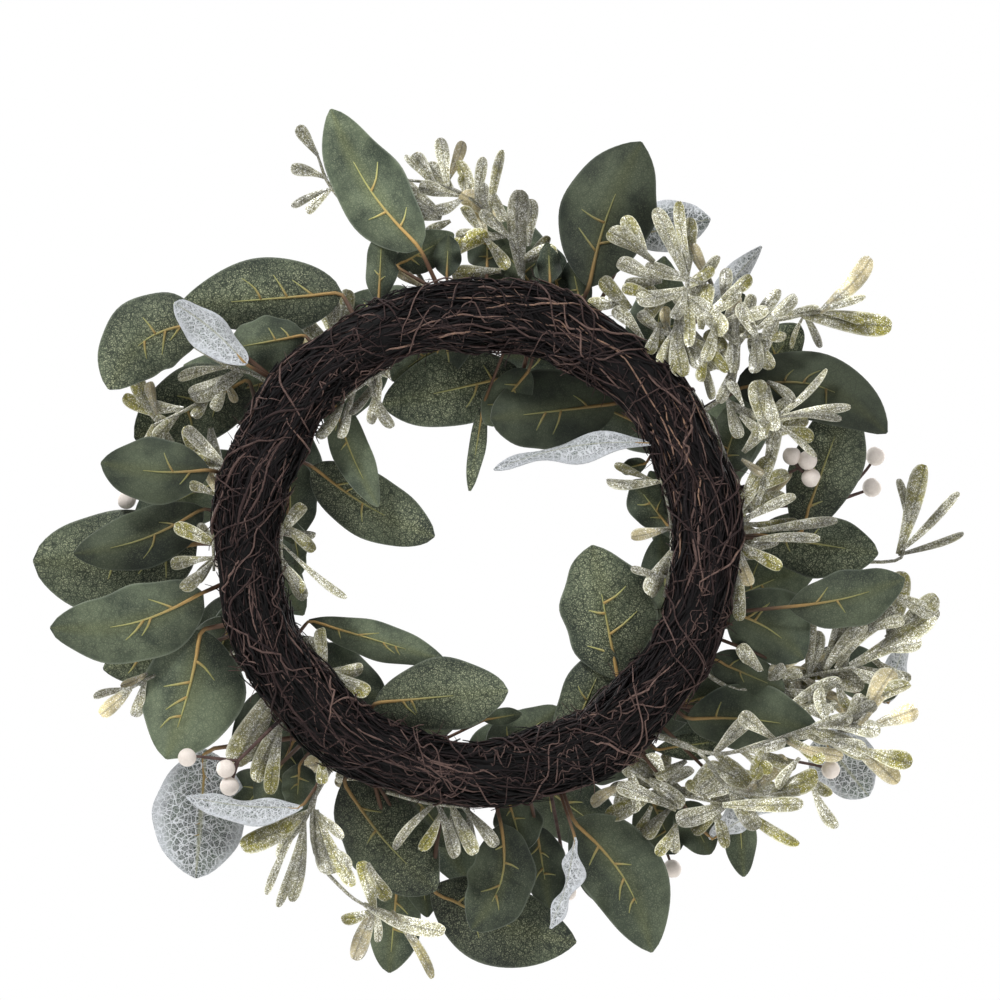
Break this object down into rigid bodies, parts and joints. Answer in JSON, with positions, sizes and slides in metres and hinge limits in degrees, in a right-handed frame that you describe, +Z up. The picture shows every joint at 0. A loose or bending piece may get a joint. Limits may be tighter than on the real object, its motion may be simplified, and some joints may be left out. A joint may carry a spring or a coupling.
{
  "type": "frosted mistletoe wreath",
  "caption": "Artificial winter wreath: a bound twig ring with broad frosted leaves, glittered mistletoe sprigs and off-white berries, hung upright on a door hook.",
  "frame": {"origin": "the place at the inner top of the twig ring where a door hook carries the wreath, midway through the thickness of the ring", "axes": "+Z up, -Y towards the door (the ring's bare side, which the picture shows), +Y towards the room, +X to the right as seen from the door side"},
  "size_m": [0.5355, 0.112, 0.4977],
  "materials": {
    "twig": "rough dark red-brown bark with a faint sheen",
    "leaf_cloth": "matte printed cloth, green with ochre veins under and frosted pale blue-grey on the face",
    "mistletoe_glitter": "silver glitter over olive",
    "berry_white": "satin off-white, finely speckled"
  },
  "bodies": {
    "root": {"berries_bottom": "berry_white", "berries_bottom_right": "berry_white", "berries_far_right": "berry_white", "berries_front_2": "berry_white", "berries_front_4": "berry_white", "berries_front_6": "berry_white", "berries_left": "berry_white", "berries_lower_left": "berry_white", "berries_lower_right": "berry_white", "berries_right": "berry_white", "leaf_spray_bottom": "leaf_cloth", "leaf_spray_bottom_left": "leaf_cloth", "leaf_spray_bottom_right": "leaf_cloth", "leaf_spray_front_1": "leaf_cloth", "leaf_spray_front_2": "leaf_cloth", "leaf_spray_front_3": "leaf_cloth", "leaf_spray_front_4": "leaf_cloth", "leaf_spray_front_5": "leaf_cloth", "leaf_spray_front_6": "leaf_cloth", "leaf_spray_inner_left": "leaf_cloth", "leaf_spray_inner_low": "leaf_cloth", "leaf_spray_inner_low_left": "leaf_cloth", "leaf_spray_inner_low_right": "leaf_cloth", "leaf_spray_inner_right": "leaf_cloth", "leaf_spray_inner_top": "leaf_cloth", "leaf_spray_left": "leaf_cloth", "leaf_spray_left_high": "leaf_cloth", "leaf_spray_left_low": "leaf_cloth", "leaf_spray_low_right": "leaf_cloth", "leaf_spray_lower_left": "leaf_cloth", "leaf_spray_right": "leaf_cloth", "leaf_spray_right_high": "leaf_cloth", "leaf_spray_right_low": "leaf_cloth", "leaf_spray_top": "leaf_cloth", "leaf_spray_top_left": "leaf_cloth", "leaf_spray_top_right": "leaf_cloth", "mistletoe_bottom": "mistletoe_glitter", "mistletoe_bottom_left": "mistletoe_glitter", "mistletoe_bottom_right": "mistletoe_glitter", "mistletoe_far_right": "mistletoe_glitter", "mistletoe_front_1": "mistletoe_glitter", "mistletoe_front_3": "mistletoe_glitter", "mistletoe_front_5": "mistletoe_glitter", "mistletoe_inner_left": "mistletoe_glitter", "mistletoe_inner_low_left": "mistletoe_glitter", "mistletoe_inner_right": "mistletoe_glitter", "mistletoe_inner_top_left": "mistletoe_glitter", "mistletoe_left": "mistletoe_glitter", "mistletoe_left_low": "mistletoe_glitter", "mistletoe_lower_left": "mistletoe_glitter", "mistletoe_lower_right": "mistletoe_glitter", "mistletoe_right": "mistletoe_glitter", "mistletoe_right_low": "mistletoe_glitter", "mistletoe_right_near": "mistletoe_glitter", "mistletoe_top": "mistletoe_glitter", "mistletoe_top_right": "mistletoe_glitter", "twig_ring": "twig"}
  },
  "joints": []
}
